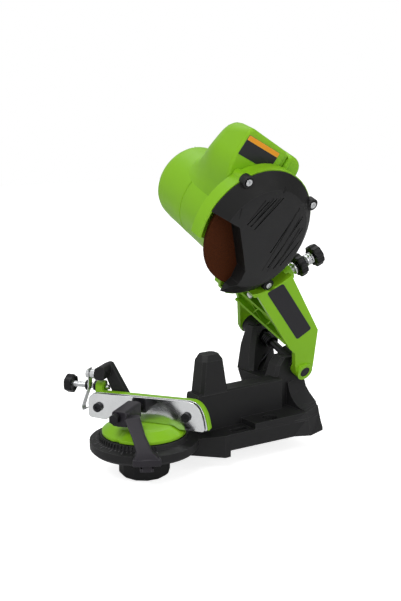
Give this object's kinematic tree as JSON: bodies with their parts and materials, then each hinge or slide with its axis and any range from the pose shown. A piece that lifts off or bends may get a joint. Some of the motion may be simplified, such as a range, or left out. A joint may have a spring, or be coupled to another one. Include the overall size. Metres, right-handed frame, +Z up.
{
  "type": "chain saw sharpener",
  "caption": "Bench chain grinder: a tilting head with a guarded grinding wheel, motor, switch box and depth stop, hinged on a tower over a swivelling chain vise.",
  "frame": {"origin": "middle of the foot's underside, where it stands on the bench; the vise platform hangs in front of the bench edge", "axes": "+X from the vise to the tower, +Y from the wheel cover to the motor, +Z up"},
  "size_m": [0.2352, 0.1709, 0.3194],
  "materials": {
    "green_plastic": "satin lime green moulding",
    "black_plastic": "fine grained black moulding",
    "black_steel": "blackened",
    "bright_steel": "zinc plated",
    "spring_steel": "dark oiled wire",
    "chromed_jaw": "polished",
    "abrasive": "red-brown bonded grain",
    "laminated_steel": "raw",
    "copper": "bare",
    "carbon": "dull",
    "pale_plastic": "plain"
  },
  "bodies": {
    "base": {"base_moulding": "black_plastic", "near_hinge_bush": "pale_plastic", "far_hinge_bush": "pale_plastic", "return_spring": "spring_steel"},
    "head": {"arm_yoke": "green_plastic", "hinge_shaft": "bright_steel", "hinge_nut": "bright_steel", "motor_housing": "green_plastic", "motor_end_cap": "green_plastic", "cap_screw_top": "bright_steel", "cap_screw_low": "bright_steel", "switch_box": "green_plastic", "switch_box_end": "green_plastic", "switch_body": "black_plastic", "wheel_cover": "black_plastic", "cover_screw_top": "bright_steel", "cover_screw_side": "bright_steel", "cover_screw_low": "bright_steel", "front_bearing": "bright_steel", "rear_bearing": "bright_steel", "stator": "laminated_steel", "carbon_brush_left": "carbon", "carbon_brush_right": "carbon", "brush_holder_left": "pale_plastic", "brush_holder_right": "pale_plastic"},
    "wheel": {"grinding_wheel": "abrasive", "inner_flange": "bright_steel", "outer_flange": "bright_steel", "spindle_nut": "bright_steel", "spindle": "bright_steel", "cooling_fan": "pale_plastic", "rotor": "laminated_steel", "commutator": "copper"},
    "rocker": {"rocker_switch": "black_plastic"},
    "rod": {"depth_rod": "bright_steel"},
    "rod_knob": {"depth_knob": "black_plastic"},
    "rod_lock": {"depth_lock_knob": "black_plastic"},
    "vise": {"vise_body": "green_plastic", "far_jaw_plate": "chromed_jaw", "jaw_screw_left": "black_steel", "jaw_screw_right": "black_steel", "clamp_arm": "black_plastic", "adjuster_nut": "black_steel", "swivel_bolt": "bright_steel"},
    "vise_lock": {"swivel_knob": "black_plastic"},
    "near_jaw": {"near_jaw_plate": "chromed_jaw"},
    "clamp": {"clamp_screw": "black_steel"},
    "stop": {"stop_arm": "black_plastic", "stop_bush": "bright_steel", "stop_bolt": "bright_steel"},
    "adjuster": {"adjuster_screw": "bright_steel", "adjuster_knob": "black_plastic", "adjuster_washer": "black_steel"},
    "leaf": {"chain_stop": "bright_steel"}
  },
  "joints": [
    {"name": "head_tilt", "type": "hinge", "parent": "base", "child": "head", "pos_m": [0.05, -0.01744, 0.06327], "axis": [0, -0.9336, -0.3584], "range_deg": [0, 33], "stiffness_Nm_per_rad": 2.6, "springref_deg": -57.3, "deforming": ["return_spring"]},
    {"name": "wheel_spin", "type": "hinge", "parent": "head", "child": "wheel", "pos_m": [-0.0423, -0.07184, 0.20499], "axis": [0, 0.9336, 0.3584], "continuous": true},
    {"name": "rocker_press", "type": "hinge", "parent": "head", "child": "rocker", "pos_m": [-0.0067, -0.06132, 0.25152], "axis": [0, -0.9336, -0.3584], "range_deg": [0, 12]},
    {"name": "depth_knob_turn", "type": "hinge", "parent": "rod", "child": "rod_knob", "pos_m": [0.04232, -0.05892, 0.1755], "axis": [0.8862, -0.166, 0.4325], "range_deg": [-5, 7205]},
    {"name": "depth_travel", "type": "slide", "parent": "head", "child": "rod", "axis": [0.8862, -0.166, 0.4325], "range_m": [0, 0.02]},
    {"name": "depth_lock_turn", "type": "hinge", "parent": "head", "child": "rod_lock", "pos_m": [0.02549, -0.05576, 0.16728], "axis": [0.8862, -0.166, 0.4325], "range_deg": [0, 180]},
    {"name": "vise_swivel", "type": "hinge", "parent": "base", "child": "vise", "pos_m": [-0.1237, -0.0168, 0.0215], "axis": [0, 0, 1], "range_deg": [-70, 0]},
    {"name": "swivel_lock_turn", "type": "hinge", "parent": "vise", "child": "vise_lock", "pos_m": [-0.1237, -0.0168, -0.008], "axis": [0, 0, 1], "range_deg": [0, 180]},
    {"name": "clamp_screw_turn", "type": "hinge", "parent": "near_jaw", "child": "clamp", "pos_m": [-0.16134, -0.03278, 0.0464], "axis": [0.8192, 0.5736, 0], "range_deg": [-5, 437]},
    {"name": "jaw_close", "type": "slide", "parent": "vise", "child": "near_jaw", "axis": [0.8192, 0.5736, 0], "range_m": [0, 0.0012]},
    {"name": "adjuster_turn", "type": "hinge", "parent": "stop", "child": "adjuster", "pos_m": [-0.16115, 0.05342, 0.057], "axis": [0.5736, -0.8192, 0], "range_deg": [-545, 437]},
    {"name": "stop_travel", "type": "slide", "parent": "vise", "child": "stop", "axis": [0.5736, -0.8192, 0], "range_m": [-0.0015, 0.0012]},
    {"name": "stop_flip", "type": "hinge", "parent": "stop", "child": "leaf", "pos_m": [-0.15462, 0.02649, 0.0714], "axis": [-0.5736, 0.8192, 0], "range_deg": [0, 80]}
  ],
  "couplings": [
    {"joint": "depth_knob_turn", "follows": "depth_travel", "rad_per_m": 6283.2},
    {"joint": "clamp_screw_turn", "follows": "jaw_close", "rad_per_m": 6283.2},
    {"joint": "adjuster_turn", "follows": "stop_travel", "rad_per_m": 6283.2}
  ]
}
